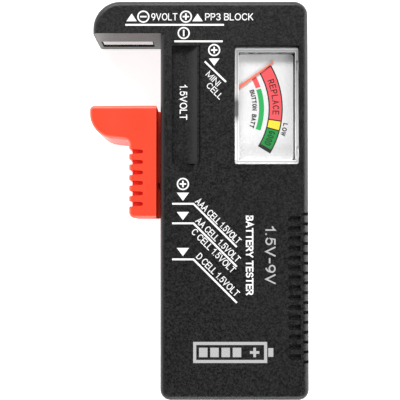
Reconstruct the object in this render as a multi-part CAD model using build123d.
from build123d import *
import math
import os

# Battery tester with a sliding jaw and a moving-coil meter, lying on its back.
# +Z comes out of the front face, +X is towards the grip edge and +Y towards the fixed jaw.
# All sizes are in millimetres.

# Driving dimensions of the case
WIDTH = 61.0
LENGTH = 111.2
DEPTH = 25.0
HALF_W = WIDTH / 2
HALF_L = LENGTH / 2
WALL = 1.8
FACE = 2.0
PARTING_Z = 8.4
DRAFT = 0.3
BODY_LEFT = -10.8
JAW_LEFT = -29.7
JAW_Y = 46.2
JAW_END_WALL = 1.2
FRONT_EDGE = 1.6
BACK_EDGE = 1.0
CAVITY_LEFT = BODY_LEFT + WALL
CAVITY_RIGHT = HALF_W - WALL
CAVITY_TOP = HALF_L - WALL
CAVITY_BOTTOM = -HALF_L + WALL
FACE_UNDER = DEPTH - FACE

# Openings for the battery contacts
JAW_OPENING_X = (-28.4, -13.2)
JAW_OPENING_Z = (4.3, 12.6)
JAW_PLATE_Z = (4.6, 11.8)
JAW_RIB_X = (-25.5, -16.0)
JAW_RIB_Y = (48.4, 50.0)
NEGATIVE_LEG_Y = (48.6, 50.2)
NINE_VOLT_X = (-18.75, -0.4)
NINE_VOLT_Z = (9.6, 17.6)
NINE_VOLT_HALF = 5.0
TAIL_X = (-22.2, 2.4)

# Slot for the slider's neck, and the slider itself
SLOT_Y = (-48.2, 45.8)
SLOT_Z = (PARTING_Z, 16.4)
SLIDER_TOP = 26.3
SLIDER_BOTTOM = -5.15
SLIDER_LEFT = -HALF_W
SLIDER_RIGHT = -11.9
SLIDER_Z = (1.0, 24.0)
SLIDER_EDGE = 1.0
ARM_Y = 17.1
ARM_TIP_R = 1.3
GRIP_LEFT = -19.5
GRIP_FOOT_R = 1.7
RIDGE_PITCH = 2.92
RIDGE_FIRST_Y = 13.4
RIDGE_COUNT = 6
RIDGE_TIP_R = 0.4
RIDGE_GAP = 1.4
GROOVE_END = -15.6
GROOVE_DEPTH = 1.2
POCKET_TOP = 22.0
NECK_Z = (SLOT_Z[0] + 0.4, SLOT_Z[1] - 0.4)
NECK_Y = (SLIDER_BOTTOM + 0.05, SLIDER_TOP - 0.9)
FOOT_X = (CAVITY_LEFT + 0.3, -5.9)
FOOT_Y = (-4.5, 24.8)
FOOT_Z = (6.6, 18.6)

# Slider contact, wiper and rail
PAD_X = (-28.8, -13.2)
PAD_Z = (4.0, 13.6)
STRIP = 0.4
STRIP_Y = 21.8
STRIP_Z = (9.6, 13.6)
RIVET = (-7.0, 21.0)
RIVET_R = 0.5
RAIL_X = (-8.4, -5.6)
RAIL_Z = (4.0, 4.4)

# Battery-shaped recess in the front face
RECESS_X = (-7.6, 0.4)
RECESS_Y = (10.0, 42.9)
RECESS_FLOOR = 23.0
RISE_START_X = -4.4
RISE_END = (-0.5, 24.7)

# Meter housing
WINDOW_X = (9.8, 27.9)
WINDOW_Y = (9.7, 42.9)
TRAY_X = (-5.2, 27.9)
TRAY_Y = (10.0, 42.6)
TRAY_Z = (6.0, 21.2)
COVER_TOP = 24.2
COVER_INNER_TOP = 23.1
FLANGE_Z = (22.45, 22.9)
COVER_GAP = 0.12
DIAL_X = (11.1, 26.5)
DIAL_Y = (11.1, 41.0)
DIAL_THICKNESS = 0.4
TERMINALS = [(14.0, 13.5), (0.0, 38.6)]
TERMINAL_R = 0.6

# Meter movement
PIVOT = (3.0, 25.5)
NEEDLE_REST = 36.5
NEEDLE_LENGTH = 22.3
HUB_Z = (18.7, 19.1)
POINTER_Z = (21.85, 22.05)
SHAFT_R = 0.5
PIVOT_R = 0.3
BEARING_GAP = 0.05
JEWEL_R = 0.9
COIL_Z = (9.6, 18.4)
COIL_R = (3.75, 4.65)
COIL_HALF = 1.1
BOBBIN_Y = 4.1
BOBBIN_WALL = 0.4
CORE_Z = (10.9, 17.1)
CORE_R = 3.3
SUPPORT_Z = (13.0, 15.0)
SUPPORT_Y = 1.2
YOKE_Z = (10.0, 18.0)
YOKE_R = (5.1, 6.2)
BRIDGE_Z = (19.8, 20.6)
LOWER_BRIDGE_Z = (7.9, 8.5)
SPRING_REACH = 2.86
SPRING_INNER = 0.6
SPRING_PITCH = 0.55
SPRING_HALF_TURNS = 8
SPRING_STRIP = 0.09

# Load resistors and wires
RESISTOR_R = 1.6
LEAD_R = 0.3
CELL_RESISTOR = (4.0, 2.0, 4.6)
CELL_LEADS = (-4.2, 12.2)
NINE_RESISTOR = (10.0, 45.2, 4.6)
NINE_LEADS = (4.6, 16.2)
WIRE_R = 0.55
WIRE_Z = 4.6
NEGATIVE_WIRE_Y = 49.4

# Grip pockets and notches on the right-hand edge
POCKET_COUNT = 15
POCKET_PITCH = 2.72
POCKET_FIRST_Y = -5.4
POCKET_X = (24.7, 28.1)
POCKET_HALF = 0.78
POCKET_DEPTH = 0.8
NOTCH_HALF = 0.42
NOTCH_DEPTH = 0.45
NOTCH_Z = (10.5, 21.8)
EDGE_NOTCH_X = 28.8
EDGE_NOTCH_Z = 23.7

# Fasteners
SCREW_PLACES = [(-4.9, -49.8), (24.4, -49.8), (24.4, 49.3)]
SCREW_R = 1.0
SCREW_SEAT_Z = 3.0
SCREW_TIP_Z = 12.0
HEAD_R = 2.0
BOSS_R = 3.1

NODES = {}


def slab(x_span, y_span, z_span):
    """A box between two limits on each axis."""
    size = [b - a for a, b in (x_span, y_span, z_span)]
    middle = [(a + b) / 2 for a, b in (x_span, y_span, z_span)]
    return Pos(*middle) * Box(*size)


def rod(x, y, z_span, radius):
    """An upright cylinder."""
    z0, z1 = z_span
    return Pos(x, y, (z0 + z1) / 2) * Cylinder(radius, z1 - z0)


def rounded_face(corners):
    """A flat face through (x, y, radius) corners, listed in order around it."""
    edges = []
    ends = []
    count = len(corners)
    for i, (x, y, radius) in enumerate(corners):
        here = Vector(x, y)
        before = Vector(*corners[i - 1][:2])
        after = Vector(*corners[(i + 1) % count][:2])
        into = (here - before).normalized()
        out = (after - here).normalized()
        if radius == 0:
            ends.append((here, here))
            continue
        half_turn = math.radians(into.get_angle(out)) / 2
        trim = radius * math.tan(half_turn)
        start = here - into * trim
        end = here + out * trim
        inward = (out - into).normalized()
        middle = here + inward * (radius / math.cos(half_turn) - radius)
        edges.append(ThreePointArc(start, middle, end))
        ends.append((start, end))
    for i in range(count):
        start = ends[i][1]
        end = ends[(i + 1) % count][0]
        if (end - start).length > 1e-6:
            edges.append(Line(start, end))
    return make_face(edges)


def prism(face, z_span):
    """The face extruded between two heights."""
    z0, z1 = z_span
    return extrude(Pos(0, 0, z0) * face, z1 - z0)


def plate(x_span, y_span, z_span, radius):
    """A rectangular plate with rounded corners in plan."""
    corners = [
        (x_span[0], y_span[0], radius),
        (x_span[1], y_span[0], radius),
        (x_span[1], y_span[1], radius),
        (x_span[0], y_span[1], radius),
    ]
    return prism(rounded_face(corners), z_span)


def stadium(x_span, y, half, z_span):
    """A slot tool with a round left end, running in X."""
    x0, x1 = x_span
    body = slab((x0 + half, x1), (y - half, y + half), z_span)
    return body + rod(x0 + half, y, z_span, half)


def wire(points, radius, corner):
    """A round wire of straight runs joined by arcs."""
    path = FilletPolyline(*points, radius=corner)
    start = Plane(origin=path @ 0, z_dir=path % 0)
    return sweep(start * Circle(radius), path=path)


def spiral_strip(x, y, z_span, inner, pitch, half_turns, thickness):
    """A flat spiral spring made of half circles, each larger than the one before it."""
    step = pitch / 2
    edges = []
    sides = {}
    for side in (-thickness / 2, thickness / 2):
        left = -inner - side
        for i in range(half_turns):
            radius = inner + side + (i + 0.5) * step
            if i % 2 == 0:
                right = left + 2 * radius
                middle = ((left + right) / 2, radius)
                edges.append(ThreePointArc((left, 0), middle, (right, 0)))
            else:
                left = right - 2 * radius
                middle = ((left + right) / 2, -radius)
                edges.append(ThreePointArc((right, 0), middle, (left, 0)))
        sides[side] = (-inner - side, right if half_turns % 2 else left)
    for end in (0, 1):
        first, second = [sides[s][end] for s in sides]
        edges.append(Line((first, 0), (second, 0)))
    return prism(Pos(x, y) * make_face(edges), z_span)


def body_outline():
    """Plan of the case's main body."""
    return rounded_face([
        (BODY_LEFT, -HALF_L, 3.0),
        (HALF_W, -HALF_L, 3.0),
        (HALF_W, HALF_L, 4.0),
        (BODY_LEFT, HALF_L, 2.0),
    ])


def jaw_outline():
    """Plan of the fixed jaw, which runs on into the body."""
    inside = BODY_LEFT + 3.0
    return rounded_face([
        (JAW_LEFT, JAW_Y, 0),
        (inside, JAW_Y, 0),
        (inside, HALF_L, 0),
        (JAW_LEFT, HALF_L, 7.8),
    ])


def outer_rim(solid, z):
    """The edges at one height, except the jaw's sharp inner edge and its end inside the body."""
    level = solid.edges().filter_by_position(Axis.Z, z - 0.01, z + 0.01)
    keep = []
    for edge in level:
        middle = edge @ 0.5
        on_jaw_face = middle.X < BODY_LEFT + 2.5 and abs(middle.Y - JAW_Y) < 1.0
        inside_body = BODY_LEFT + 1.5 < middle.X < BODY_LEFT + 3.5 and JAW_Y < middle.Y < HALF_L - 2
        if not on_jaw_face and not inside_body:
            keep.append(edge)
    return keep


def case_block(z_edge, edge_radius):
    """A drafted solid half of the case, from the parting plane to its outer face."""
    up = 1 if z_edge > PARTING_Z else -1
    height = abs(z_edge - PARTING_Z)
    halves = []
    for outline in (body_outline(), jaw_outline()):
        base = Pos(0, 0, PARTING_Z) * outline
        half = extrude(base, height, dir=(0, 0, up), taper=DRAFT)
        halves.append(fillet(outer_rim(half, z_edge), edge_radius))
    return halves[0] + halves[1]


def case_cavity():
    """Plan of the hollow inside the case, one wall in from its outline."""
    return rounded_face([
        (CAVITY_LEFT, CAVITY_BOTTOM, 1.5),
        (CAVITY_RIGHT, CAVITY_BOTTOM, 1.5),
        (CAVITY_RIGHT, CAVITY_TOP, 2.2),
        (JAW_LEFT + JAW_END_WALL, CAVITY_TOP, 4.5),
        (JAW_LEFT + JAW_END_WALL, JAW_Y + WALL, 0),
        (CAVITY_LEFT, JAW_Y + WALL, 0),
    ])


def jaw_opening():
    """The window in the jaw's inner face that shows the negative plate."""
    return slab(JAW_OPENING_X, (JAW_Y - 0.2, JAW_Y + WALL + 0.1), JAW_OPENING_Z)


def recess_tool():
    """The recess: flat and deep on the left, rising to the right, with a nub below."""
    rise_start = (RISE_START_X, RECESS_FLOOR)
    top = DEPTH + 0.5
    groove_floor = 24.0
    groove_left = RECESS_X[1] - 0.35
    profile = [
        Line((RECESS_X[0], top), (RECESS_X[0], RECESS_FLOOR)),
        Line((RECESS_X[0], RECESS_FLOOR), rise_start),
        TangentArc(rise_start, RISE_END, tangent=(1, 0)),
        Line(RISE_END, (groove_left, RISE_END[1])),
        Line((groove_left, RISE_END[1]), (groove_left, groove_floor)),
        Line((groove_left, groove_floor), (RECESS_X[1], groove_floor)),
        Line((RECESS_X[1], groove_floor), (RECESS_X[1], top)),
        Line((RECESS_X[1], top), (RECESS_X[0], top)),
    ]
    upright = Plane(origin=(0, RECESS_Y[1], 0), x_dir=(1, 0, 0), z_dir=(0, -1, 0))
    trough = extrude(upright * make_face(profile), RECESS_Y[1] - RECESS_Y[0])
    nub_bottom = RECESS_Y[0] - 2.35
    nub = rounded_face([
        (-5.5, nub_bottom, 0.4),
        (-1.6, nub_bottom, 0.4),
        (-1.6, RECESS_Y[0] - 0.7, 0),
        (-1.0, RECESS_Y[0] + 0.01, 0),
        (-6.1, RECESS_Y[0] + 0.01, 0),
        (-5.5, RECESS_Y[0] - 0.7, 0),
    ])
    return trough + prism(nub, (RECESS_FLOOR, top))


def nine_volt_windows():
    """The two windows in the top wall for a nine volt battery's terminals."""
    wide = NINE_VOLT_HALF
    return [
        slab((x - wide, x + wide), (CAVITY_TOP - 1, HALF_L + 1), NINE_VOLT_Z)
        for x in NINE_VOLT_X
    ]


def grip_pockets():
    """Pockets along the right of the front face, and notches between them down the edge and side."""
    tools = []
    edge_x = (EDGE_NOTCH_X, HALF_W + 1)
    side_x = (HALF_W - NOTCH_DEPTH, HALF_W + 1)
    for i in range(POCKET_COUNT):
        y = POCKET_FIRST_Y - i * POCKET_PITCH
        tools.append(stadium(POCKET_X, y, POCKET_HALF, (DEPTH - POCKET_DEPTH, DEPTH + 1)))
    for i in range(POCKET_COUNT + 1):
        y = POCKET_FIRST_Y + (0.5 - i) * POCKET_PITCH
        y_span = (y - NOTCH_HALF, y + NOTCH_HALF)
        tools.append(slab(edge_x, y_span, (EDGE_NOTCH_Z, DEPTH + 1)))
        tools.append(slab(side_x, y_span, NOTCH_Z))
    return tools


def make_front_case():
    """The deep front half, with the fixed jaw."""
    shell = case_block(DEPTH, FRONT_EDGE)
    shell -= prism(case_cavity(), (PARTING_Z - 1, FACE_UNDER))
    boss_z = (RECESS_FLOOR - 1.6, FACE_UNDER + 0.1)
    shell += slab((CAVITY_LEFT - 0.1, -0.9), (6.0, 44.6), boss_z)
    for y in (-12.0, -27.0, -42.0):
        shell += slab((-4.4, CAVITY_RIGHT + 0.1), (y - 0.5, y + 0.5), (20.6, FACE_UNDER + 0.1))
    for x, y in SCREW_PLACES:
        shell += rod(x, y, (PARTING_Z, FACE_UNDER + 0.1), BOSS_R - 0.5)
    press_rib = (JAW_OPENING_Z[1] - 0.3, FACE_UNDER + 0.1)
    shell += slab(JAW_RIB_X, JAW_RIB_Y, press_rib)
    for x, y in SCREW_PLACES:
        shell -= rod(x, y, (PARTING_Z - 1, SCREW_TIP_Z + 0.5), SCREW_R)
    cuts = [recess_tool(), jaw_opening()] + nine_volt_windows() + grip_pockets()
    cuts.append(plate(WINDOW_X, WINDOW_Y, (20.0, DEPTH + 1), 0.4))
    cuts.append(slab((BODY_LEFT - 1, CAVITY_LEFT + 0.1), SLOT_Y, (SLOT_Z[0] - 1, SLOT_Z[1])))
    for tool in cuts:
        shell -= tool
    return shell


def make_back_case():
    """The shallow back half, with the ribs that carry what is inside."""
    shell = case_block(0, BACK_EDGE)
    shell -= prism(case_cavity(), (FACE, PARTING_Z + 1))
    shell += slab(RAIL_X, (-48.0, 46.5), (FACE - 0.1, RAIL_Z[0]))
    for y in (18.6, 33.6):
        shell += slab((-4.0, 20.0), (y - 0.6, y + 0.6), (FACE - 0.1, TRAY_Z[0]))
    shell += slab(JAW_RIB_X, JAW_RIB_Y, (FACE - 0.1, JAW_OPENING_Z[0] + 0.3))
    for x in (0.5, 7.5):
        cradle = slab((x - 0.5, x + 0.5), (0.0, 4.0), (FACE - 0.1, CELL_RESISTOR[2]))
        shell += cradle - lying_rod((x - 1, x + 1), CELL_RESISTOR[1], CELL_RESISTOR[2], RESISTOR_R)
    lip_z = (PARTING_Z - 2.0, PARTING_Z + 1.0)
    lip_x = (CAVITY_RIGHT - 0.9, CAVITY_RIGHT - 0.1)
    shell += slab(lip_x, (-44.0, 8.0), lip_z)
    shell += slab((lip_x[1] - 0.1, CAVITY_RIGHT + 0.1), (-44.0, 8.0), (lip_z[0], PARTING_Z))
    for x, y in SCREW_PLACES:
        shell += rod(x, y, (FACE - 0.1, PARTING_Z), BOSS_R)
    for x, y in SCREW_PLACES:
        shell -= rod(x, y, (-1, SCREW_SEAT_Z), HEAD_R + 0.3)
        shell -= rod(x, y, (0, PARTING_Z + 1), SCREW_R + 0.2)
    return shell - jaw_opening()


def lying_rod(x_span, y, z, radius):
    """A cylinder along X."""
    x0, x1 = x_span
    return Pos((x0 + x1) / 2, y, z) * Rot(0, 90, 0) * Cylinder(radius, x1 - x0)


def make_screws():
    """Pan head screws that go in from the back."""
    head_z = (SCREW_SEAT_Z - 1.5, SCREW_SEAT_Z)
    screws = []
    for x, y in SCREW_PLACES:
        screw = rod(x, y, head_z, HEAD_R) + rod(x, y, (head_z[1] - 0.1, SCREW_TIP_Z), SCREW_R)
        for turn in (0, 90):
            cross = Pos(x, y, head_z[0]) * Rot(0, 0, turn) * Box(2.4, 0.5, 1.6)
            screw -= cross
        screws.append(screw)
    return Compound(children=screws)


def slider_plan():
    """Plan of the slider outside the case: an arm above a grip."""
    left = SLIDER_LEFT
    tip_r = ARM_TIP_R
    foot_r = GRIP_FOOT_R
    elbow = (GRIP_LEFT - 1.2, ARM_Y - 0.35)
    return make_face([
        Line((SLIDER_RIGHT, SLIDER_BOTTOM), (SLIDER_RIGHT, SLIDER_TOP)),
        Line((SLIDER_RIGHT, SLIDER_TOP), (left + tip_r, SLIDER_TOP)),
        RadiusArc((left + tip_r, SLIDER_TOP), (left, SLIDER_TOP - tip_r), -tip_r),
        Line((left, SLIDER_TOP - tip_r), (left, 24.6)),
        ThreePointArc((left, 24.6), (left + 1.9, 19.3), (left + 6.5, ARM_Y)),
        Line((left + 6.5, ARM_Y), elbow),
        ThreePointArc(elbow, (GRIP_LEFT - 0.35, ARM_Y - 0.75), (GRIP_LEFT, ARM_Y - 1.6)),
        Line((GRIP_LEFT, ARM_Y - 1.6), (GRIP_LEFT, SLIDER_BOTTOM + foot_r)),
        RadiusArc((GRIP_LEFT, SLIDER_BOTTOM + foot_r), (GRIP_LEFT + foot_r, SLIDER_BOTTOM), -foot_r),
        Line((GRIP_LEFT + foot_r, SLIDER_BOTTOM), (SLIDER_RIGHT, SLIDER_BOTTOM)),
    ])


def ridge_gap(y, inner_x):
    """Plan of the gap between two grip ridges, flared at its mouth to round their tips."""
    half = RIDGE_GAP / 2
    mouth = GRIP_LEFT + RIDGE_TIP_R
    wide = half + RIDGE_TIP_R
    bow = RIDGE_TIP_R * (1 - math.sqrt(0.5))
    outside = GRIP_LEFT - 1
    edges = [Line((inner_x, y - half), (inner_x, y + half))]
    for side in (-1, 1):
        corner = (GRIP_LEFT + bow, y + side * (half + bow))
        edges.append(Line((inner_x, y + side * half), (mouth, y + side * half)))
        edges.append(ThreePointArc((mouth, y + side * half), corner, (GRIP_LEFT, y + side * wide)))
        edges.append(Line((GRIP_LEFT, y + side * wide), (outside, y + side * wide)))
    edges.append(Line((outside, y - wide), (outside, y + wide)))
    return make_face(edges)


def make_slider_body():
    """The orange moulding: arm, ribbed grip, neck and the foot inside the case."""
    body = prism(slider_plan(), SLIDER_Z)
    front = body.edges().filter_by_position(Axis.Z, SLIDER_Z[1] - 0.01, SLIDER_Z[1] + 0.01)
    body = fillet([edge for edge in front if (edge @ 0.5).X < SLIDER_RIGHT - 0.1], SLIDER_EDGE)
    notch_x = GRIP_LEFT + 0.9
    for i in range(RIDGE_COUNT):
        y = RIDGE_FIRST_Y - i * RIDGE_PITCH
        body -= prism(ridge_gap(y, notch_x), (SLIDER_Z[0] - 1, 25))
        groove = rounded_face([
            (notch_x - 0.1, y - RIDGE_GAP / 2, 0),
            (GROOVE_END, y - 0.5, 0.45),
            (GROOVE_END, y + 0.5, 0.45),
            (notch_x - 0.1, y + RIDGE_GAP / 2, 0),
        ])
        body -= prism(groove, (SLIDER_Z[1] - GROOVE_DEPTH, 25))
    arm_pocket = rounded_face([
        (SLIDER_RIGHT - 3.0, 19.2, 0.5),
        (SLIDER_RIGHT - 3.0, 24.1, 0.5),
        (SLIDER_LEFT + 2.0, 24.1, 0.5),
        (SLIDER_LEFT + 2.8, 22.2, 0.5),
        (SLIDER_LEFT + 5.4, 19.2, 0.5),
    ])
    pocket_z = (SLIDER_Z[0] - 1, POCKET_TOP)
    body -= prism(arm_pocket, pocket_z)
    body -= plate((GRIP_LEFT + 2.4, SLIDER_RIGHT - 1.9), (-3.2, 15.8), pocket_z, 0.5)
    body += slab((SLIDER_RIGHT - 0.1, FOOT_X[0] + 0.1), NECK_Y, NECK_Z)
    body += slab(FOOT_X, FOOT_Y, FOOT_Z)
    hole_x = SLIDER_RIGHT + 0.5
    body -= slab((hole_x - 0.3, hole_x + 0.3), (3.2, 5.0), (NECK_Z[1] - 2.0, NECK_Z[1] + 1))
    for part in (make_slider_contact(), make_wiper_rivet()):
        body -= part
    return body


def make_slider_contact():
    """The metal strip: a pad on the arm, then a leg through the neck and down the foot."""
    top = SLIDER_TOP
    strip = slab(PAD_X, (top - STRIP, top), PAD_Z)
    strip += slab((PAD_X[1] - STRIP, PAD_X[1]), (STRIP_Y, top), STRIP_Z)
    leg_x = -7.8
    strip += slab((PAD_X[1] - STRIP, leg_x), (STRIP_Y, STRIP_Y + STRIP), STRIP_Z)
    strip += slab((leg_x - 1.0, leg_x), (STRIP_Y, STRIP_Y + STRIP), (FOOT_Z[0], STRIP_Z[1]))
    return strip - slab((leg_x - 1.1, FOOT_X[0] + 0.1), (21, 23), (FOOT_Z[0], NECK_Z[0] + 0.3))


def make_wiper():
    """The leaf spring under the foot that rubs along the rail."""
    top = FOOT_Z[0]
    low = RAIL_Z[1] + 0.06
    leaf = 0.3
    profile = Polyline(
        (23.6, top), (23.6, top - leaf), (16.2, top - leaf), (13.0, low), (12.4, low),
        (10.6, low + 0.9), (10.6, low + 0.9 + leaf), (12.6, low + leaf), (12.9, low + leaf),
        (16.1, top), close=True,
    )
    upright = Plane(origin=(-8.0, 0, 0), x_dir=(0, 1, 0), z_dir=(1, 0, 0))
    leaf_solid = extrude(upright * make_face(profile), 2.0)
    return leaf_solid - rod(*RIVET, (5, 8), RIVET_R)


def make_wiper_rivet():
    """The rivet that holds the wiper to the foot."""
    head = rod(*RIVET, (FOOT_Z[0] - 0.9, FOOT_Z[0] - 0.3), 0.8)
    return head + rod(*RIVET, (FOOT_Z[0] - 0.4, 10.5), RIVET_R)


def make_rail():
    """The positive rail beside the slot, with a solder tag."""
    rail = slab(RAIL_X, (-46.4, 46.0), RAIL_Z)
    return rail + slab((RAIL_X[1] - 0.1, CELL_LEADS[0]), (1.0, 3.0), RAIL_Z)


def make_negative_plate():
    """The negative battery plate in the jaw, with a leg into the case at each end."""
    x_span = (JAW_OPENING_X[0] + 0.35, JAW_OPENING_X[1] - 0.35)
    z_span = JAW_PLATE_Z
    front_y = JAW_Y + 0.35
    sheet = 0.5
    body = slab(x_span, (front_y, front_y + sheet), z_span)
    for x in (x_span[0], x_span[1] - sheet):
        body += slab((x, x + sheet), (front_y, NEGATIVE_LEG_Y[1]), z_span)
        body += slab((x, x + sheet), NEGATIVE_LEG_Y, (3.9, z_span[0] + 0.1))
    return body


def make_nine_volt_plate(x, tail_x):
    """A contact behind the top wall: a pad that fills its window, and a solder tail."""
    back = CAVITY_TOP - 0.5
    body = slab((x - 5.05, x + 5.05), (back, CAVITY_TOP), (8.8, 18.4))
    pad = slab((x - 4.7, x + 4.7), (back, HALF_L - 0.5), (9.9, 17.3))
    pad = fillet(pad.edges().filter_by(Axis.Y), 1.2)
    hollow = slab((x - 4.2, x + 4.2), (back - 1, HALF_L - 1.0), (10.4, 16.8))
    tail = slab((tail_x - 0.9, tail_x + 0.9), (back, CAVITY_TOP), (3.9, 9.0))
    return body + pad - hollow + tail


def make_meter_tray():
    """The open box that holds the movement and carries the dial plate."""
    tray = slab(TRAY_X, TRAY_Y, TRAY_Z)
    wall = 1.1
    side = 1.9
    floor = TRAY_Z[0] + 1.2
    divider = (10.6, 11.8)
    top = TRAY_Z[1] + 1
    tray -= slab((TRAY_X[0] + wall, divider[0]), (TRAY_Y[0] + wall, TRAY_Y[1] - wall), (floor, top))
    tray -= slab((divider[1], TRAY_X[1] - side), (TRAY_Y[0] + side, TRAY_Y[1] - side), (floor, top))
    for x in (-5.5, 5.5):
        tray += rod(PIVOT[0] + x, PIVOT[1], (floor - 0.1, YOKE_Z[0]), 0.9)
    for x, y in TERMINALS:
        tray -= rod(x, y, (TRAY_Z[0] - 1, floor + 1), TERMINAL_R)
    return tray


def make_meter_cover():
    """The clear cover: a box in the window, and a flange that reaches over the pivot."""
    gap = COVER_GAP
    x_span = (WINDOW_X[0] + gap, WINDOW_X[1] - gap)
    y_span = (WINDOW_Y[0] + gap, WINDOW_Y[1] - gap)
    cover = plate(x_span, y_span, (TRAY_Z[1], COVER_TOP), 0.5)
    top_edges = cover.edges().filter_by_position(Axis.Z, COVER_TOP - 0.01, COVER_TOP + 0.01)
    cover = fillet(top_edges, 0.3)
    low = TRAY_Z[1] - 1
    cover -= plate((11.05, 26.85), (10.95, 41.15), (low, COVER_INNER_TOP), 0.6)
    swing = slab((x_span[0] - 1, 11.5), (17.6, 32.6), (low, FLANGE_Z[0] + 0.05))
    cover -= swing
    for y in (13.4, 37.4):
        notch_z = (COVER_TOP - 0.5, COVER_TOP + 1)
        cover -= slab((x_span[1] - 0.7, x_span[1] + 0.5), (y - 1.4, y + 1.4), notch_z)
    flange = slab((-0.6, x_span[0] + 0.5), (15.0, 36.0), FLANGE_Z)
    return cover + flange


def make_dial_plate():
    """The plate that the scale is printed on."""
    return plate(DIAL_X, DIAL_Y, (TRAY_Z[1], TRAY_Z[1] + DIAL_THICKNESS), 0.8)


def turned_needle(part):
    """A piece drawn along +X from the pivot, turned to the needle's rest angle."""
    return Pos(PIVOT[0], PIVOT[1]) * Rot(0, 0, NEEDLE_REST) * part


def make_needle():
    """The needle: a low arm under the bridge, a riser and the pointer over the dial."""
    riser_r = 6.95
    arm = slab((-4.6, riser_r), (-0.45, 0.45), (HUB_Z[0], HUB_Z[1]))
    arm += rod(0, 0, HUB_Z, 1.0)
    arm += slab((riser_r - 0.35, riser_r), (-0.45, 0.45), (HUB_Z[0], POINTER_Z[1]))
    pointer = rounded_face([
        (riser_r - 0.35, -0.45, 0),
        (NEEDLE_LENGTH, -0.16, 0),
        (NEEDLE_LENGTH, 0.16, 0),
        (riser_r - 0.35, 0.45, 0),
    ])
    arm += prism(pointer, POINTER_Z)
    arm -= rod(0, 0, (18, 20), SHAFT_R)
    return turned_needle(arm)


def make_counterweight():
    """The solder bead on the needle's tail, as two washers above and below it."""
    bead = rod(-4.0, 0, (HUB_Z[1], HUB_Z[1] + 0.5), 0.8)
    bead += rod(-4.0, 0, (HUB_Z[0] - 0.4, HUB_Z[0]), 0.8)
    return turned_needle(bead)


def make_coil_bobbin():
    """The coil's thin metal frame around the core."""
    low = COIL_Z[0] + BOBBIN_WALL
    high = COIL_Z[1] - BOBBIN_WALL
    outer = slab((-COIL_HALF, COIL_HALF), (-BOBBIN_Y, BOBBIN_Y), (low, high))
    inner = slab((-2, 2), (-COIL_R[0], COIL_R[0]), (low + 0.3, high - 0.3))
    return turned_needle(outer - inner)


def make_coil_winding():
    """The wire wound on the bobbin."""
    outer = slab((-COIL_HALF, COIL_HALF), (-COIL_R[1], COIL_R[1]), COIL_Z)
    low = COIL_Z[0] + BOBBIN_WALL
    high = COIL_Z[1] - BOBBIN_WALL
    inner = slab((-2, 2), (-BOBBIN_Y, BOBBIN_Y), (low, high))
    winding = outer - inner
    winding -= rod(0, 0, (high, COIL_Z[1] + 1), SHAFT_R)
    winding -= rod(0, 0, (COIL_Z[0] - 1, low), SHAFT_R)
    return turned_needle(winding)


def make_pivot(bottom, top, tip_up):
    """Half a shaft on the coil, with a fine tip that turns in the jewel."""
    tip = 0.9
    if tip_up:
        body = rod(*PIVOT, (bottom, top - tip), SHAFT_R)
        return body + rod(*PIVOT, (top - tip - 0.1, top), PIVOT_R)
    body = rod(*PIVOT, (bottom + tip, top), SHAFT_R)
    return body + rod(*PIVOT, (bottom, bottom + tip + 0.1), PIVOT_R)


def make_hairspring(z_span):
    """One of the two springs that bring the needle back and feed the coil."""
    return spiral_strip(*PIVOT, z_span, SPRING_INNER, SPRING_PITCH, SPRING_HALF_TURNS, SPRING_STRIP)


def make_core_magnet():
    """The round magnet inside the coil."""
    core = rod(*PIVOT, CORE_Z, CORE_R)
    return core - make_core_support()


def make_core_support():
    """The bar that carries the core between the yoke's two sides, clear of the coil's swing."""
    reach = YOKE_R[0] - 0.25
    bar = slab((-reach, reach), (-SUPPORT_Y, SUPPORT_Y), SUPPORT_Z)
    return Pos(PIVOT[0], PIVOT[1]) * bar


def make_yoke():
    """The soft iron ring around the coil, with a pad for each end of the core's bar."""
    ring = rod(*PIVOT, YOKE_Z, YOKE_R[1]) - rod(*PIVOT, (YOKE_Z[0] - 1, YOKE_Z[1] + 1), YOKE_R[0])
    for side in (-1, 1):
        reach = sorted((side * (YOKE_R[0] - 0.25), side * (YOKE_R[1] - 0.5)))
        ring += Pos(PIVOT[0], PIVOT[1]) * slab(reach, (-SUPPORT_Y, SUPPORT_Y), SUPPORT_Z)
    return ring


def make_bridge(bar_z, yoke_z):
    """A bar over the coil on two feet that stand on the yoke ring."""
    bar = slab((-1.5, 1.5), (-6.1, 6.1), bar_z)
    above = yoke_z < bar_z[0]
    feet_z = sorted((yoke_z, bar_z[0] if above else bar_z[1]))
    for y in (-5.6, 5.6):
        bar += slab((-1.2, 1.2), (y - 0.5, y + 0.5), feet_z)
    if not above:
        bar += slab((-SPRING_REACH - 0.4, -1.4), (-0.5, 0.5), bar_z)
        bar += slab((-SPRING_REACH - 0.4, -SPRING_REACH), (-0.5, 0.5), (bar_z[0], bar_z[1] + 0.8))
    bar -= rod(0, 0, (bar_z[0] - 1, bar_z[1] + 1), JEWEL_R)
    return Pos(PIVOT[0], PIVOT[1]) * bar


def make_jewel(z_span, mouth, depth):
    """A bearing screw with a blind hole for the pivot's tip."""
    jewel = rod(*PIVOT, z_span, JEWEL_R)
    hole = sorted((mouth, mouth + depth))
    return jewel - rod(*PIVOT, hole, PIVOT_R + BEARING_GAP)


def make_zero_adjuster():
    """The lever on the upper bridge that shifts the outer end of the hairspring."""
    z_span = (BRIDGE_Z[1], BRIDGE_Z[1] + 0.4)
    lever = rod(*PIVOT, z_span, 1.7)
    lever += slab((PIVOT[0] - 6.4, PIVOT[0]), (PIVOT[1] - 0.6, PIVOT[1] + 0.6), z_span)
    finger_x = (PIVOT[0] - 3.25, PIVOT[0] - SPRING_REACH)
    lever += slab(finger_x, (PIVOT[1] - 0.4, PIVOT[1] + 0.4), (19.25, z_span[1]))
    return lever - rod(*PIVOT, (z_span[0] - 1, z_span[1] + 1), JEWEL_R)


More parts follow.
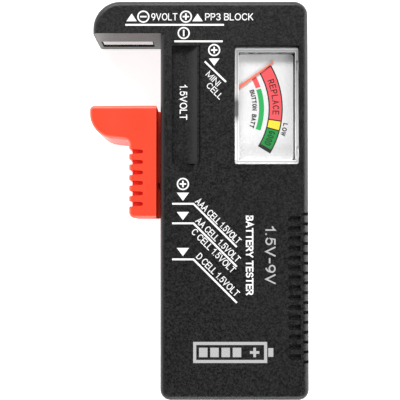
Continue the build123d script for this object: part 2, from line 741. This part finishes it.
def make_terminals():
    """Meter terminals: a pin through the tray's floor with a solder lug below."""
    pins = []
    for x, y in TERMINALS:
        lug = slab((x - 1, x + 1), (y - 1, y + 1), (3.6, 5.2))
        pins.append(lug + rod(x, y, (5.1, 8.4), TERMINAL_R))
    return Compound(children=pins)


def make_resistor(centre, leads):
    """A load resistor: a body with two enlarged ends and a lead each way."""
    x, y, z = centre
    body = lying_rod((x - 3.4, x + 3.4), y, z, RESISTOR_R - 0.25)
    for side in (-1, 1):
        ends = sorted((x + side * 2.2, x + side * 3.8))
        body += lying_rod(ends, y, z, RESISTOR_R)
    return body + lying_rod(leads, y, z, LEAD_R)


def make_cell_wire():
    """From the cell's load resistor to the positive terminal."""
    x, y = TERMINALS[0]
    z = CELL_RESISTOR[2]
    points = [(CELL_LEADS[1], 2.0, z), (x, 2.0, z), (x, y - 1, z)]
    return wire(points, WIRE_R, 1.7)


def make_nine_volt_wires():
    """From the top contact to its resistor, and on to the positive terminal."""
    x, y = TERMINALS[0]
    z = NINE_RESISTOR[2]
    tail_y = CAVITY_TOP - 0.5
    tail_x = TAIL_X[1]
    from_tail = [(tail_x, tail_y, z), (tail_x, NINE_RESISTOR[1], z), (NINE_LEADS[0], NINE_RESISTOR[1], z)]
    first = wire(from_tail, WIRE_R, 2.0)
    route = [
        (NINE_LEADS[1], NINE_RESISTOR[1], z),
        (23.2, NINE_RESISTOR[1] - 1.4, z),
        (23.2, y, z),
        (x + 1, y, z),
    ]
    second = wire(route, WIRE_R, 4.0)
    return Compound(children=[first, second])


def make_negative_wire():
    """From the jaw plate to the negative terminal."""
    x, y = TERMINALS[1]
    start_x = JAW_OPENING_X[1] - 0.35
    z = WIRE_Z
    points = [(start_x, NEGATIVE_WIRE_Y, z), (-6.0, NEGATIVE_WIRE_Y, z), (x, 46.4, z), (x, y + 1, z)]
    return wire(points, WIRE_R, 3.0)


def make_bridge_wire():
    """From the nine volt negative contact to the jaw plate's far leg."""
    end_x = JAW_OPENING_X[0] + 0.35 + 0.5
    tail_y = CAVITY_TOP - 0.5
    z = WIRE_Z + 2.0
    points = [(TAIL_X[0], tail_y, z), (TAIL_X[0], NEGATIVE_WIRE_Y, z), (end_x, NEGATIVE_WIRE_Y, z)]
    return wire(points, 0.4, 1.0)


def add(name, solid):
    """Keep one node of the model under its name."""
    NODES[name] = solid


add("front_case", make_front_case())
add("back_case", make_back_case())
add("case_screws", make_screws())
add("slider_body", make_slider_body())
add("slider_contact", make_slider_contact())
add("slider_wiper", make_wiper())
add("wiper_rivet", make_wiper_rivet())
add("positive_rail", make_rail())
add("negative_plate", make_negative_plate())
add("nine_volt_negative_contact", make_nine_volt_plate(NINE_VOLT_X[0], TAIL_X[0]))
add("nine_volt_positive_contact", make_nine_volt_plate(NINE_VOLT_X[1], TAIL_X[1]))
add("meter_tray", make_meter_tray())
add("meter_cover", make_meter_cover())
add("dial_plate", make_dial_plate())
add("needle", make_needle())
add("needle_counterweight", make_counterweight())
add("coil_bobbin", make_coil_bobbin())
add("coil_winding", make_coil_winding())
add("upper_pivot", make_pivot(COIL_Z[1] - BOBBIN_WALL, 20.6, True))
add("lower_pivot", make_pivot(7.8, COIL_Z[0] + BOBBIN_WALL, False))
add("upper_hairspring", make_hairspring((19.3, 19.6)))
add("lower_hairspring", make_hairspring((8.95, 9.25)))
add("core_magnet", make_core_magnet())
add("core_support", make_core_support())
add("yoke_ring", make_yoke())
add("upper_bridge", make_bridge(BRIDGE_Z, YOKE_Z[1]))
add("lower_bridge", make_bridge(LOWER_BRIDGE_Z, YOKE_Z[0]))
add("upper_jewel", make_jewel((BRIDGE_Z[0], 21.6), BRIDGE_Z[0], 0.9))
add("lower_jewel", make_jewel((7.3, LOWER_BRIDGE_Z[1]), LOWER_BRIDGE_Z[1], -0.8))
add("zero_adjuster", make_zero_adjuster())
add("meter_terminals", make_terminals())
add("cell_load_resistor", make_resistor(CELL_RESISTOR, CELL_LEADS))
add("nine_volt_load_resistor", make_resistor(NINE_RESISTOR, NINE_LEADS))
add("cell_wire", make_cell_wire())
add("nine_volt_wires", make_nine_volt_wires())
add("negative_wire", make_negative_wire())
add("negative_bridge_wire", make_bridge_wire())

os.makedirs("parts", exist_ok=True)
for name, solid in NODES.items():
    export_step(solid, f"parts/{name}.step")
